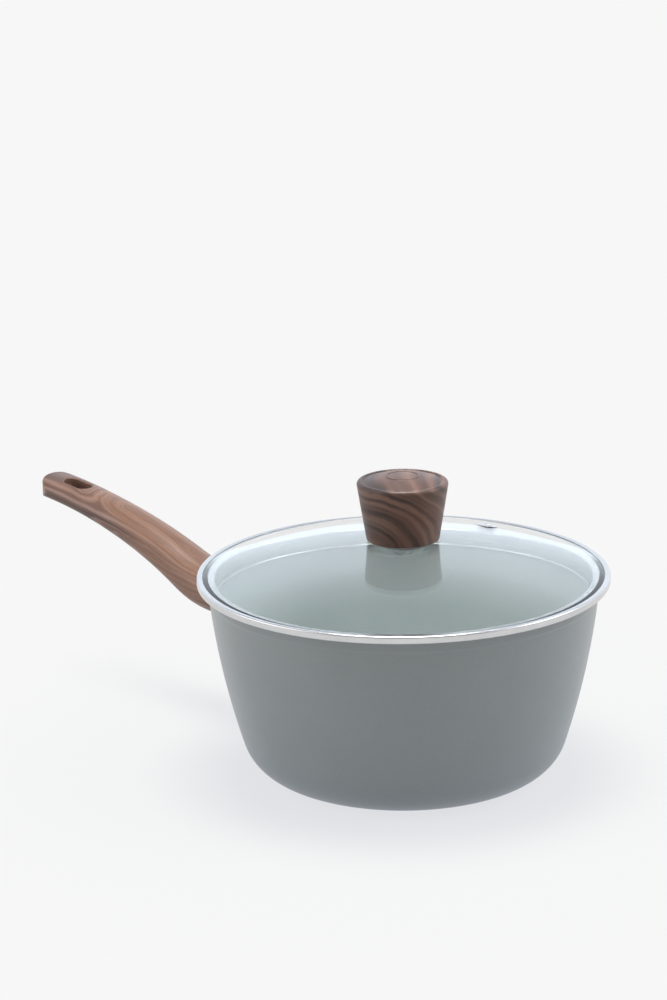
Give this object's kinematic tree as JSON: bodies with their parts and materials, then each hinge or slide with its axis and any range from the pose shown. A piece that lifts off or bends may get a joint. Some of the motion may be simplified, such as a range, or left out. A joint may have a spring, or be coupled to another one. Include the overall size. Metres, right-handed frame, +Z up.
{
  "type": "saucepan with glass lid",
  "caption": "Flared coated saucepan with one long wood-look handle and a domed glass lid that lifts off, with a steel band, a steam vent and a conical knob.",
  "frame": {"origin": "centre of the underside, on the surface that the pan stands on", "axes": "+Z up along the pan's and the lid's axis; -X runs along the handle, away from the pan; the lid's vent is towards +Y"},
  "size_m": [0.373, 0.205, 0.1515],
  "materials": {
    "sage_coating": "pressed aluminium with a satin sprayed coating, sage grey-green, inside and out",
    "stamped_steel": "stamped and brushed stainless steel",
    "bare_aluminium": "plain cast aluminium",
    "wood_look_grip": "walnut-look satin skin over a heat-resistant moulding",
    "wood_look_knob": "dark walnut-look satin skin over a heat-resistant moulding",
    "bright_steel": "bright rolled stainless steel",
    "clear_glass": "clear toughened glass",
    "clear_silicone": "translucent silicone",
    "bare_brass": "turned brass"
  },
  "bodies": {
    "pan": {"pan_shell": "sage_coating", "induction_base": "stamped_steel", "handle_bracket": "bare_aluminium", "handle_grip": "wood_look_grip", "handle_screw": "bright_steel", "handle_spring_washer": "bright_steel"},
    "lid": {"lid_glass": "clear_glass", "lid_rim_band": "bright_steel", "vent_eyelet": "bright_steel", "vent_washer": "bright_steel", "knob": "wood_look_knob", "knob_insert": "bare_brass", "knob_gasket": "clear_silicone", "knob_under_gasket": "clear_silicone", "knob_washer": "bright_steel", "knob_screw": "bright_steel"}
  },
  "joints": [
    {"name": "lid_lift", "type": "slide", "parent": "pan", "child": "lid", "axis": [0, 0, 1], "range_m": [0, 0.12]}
  ]
}
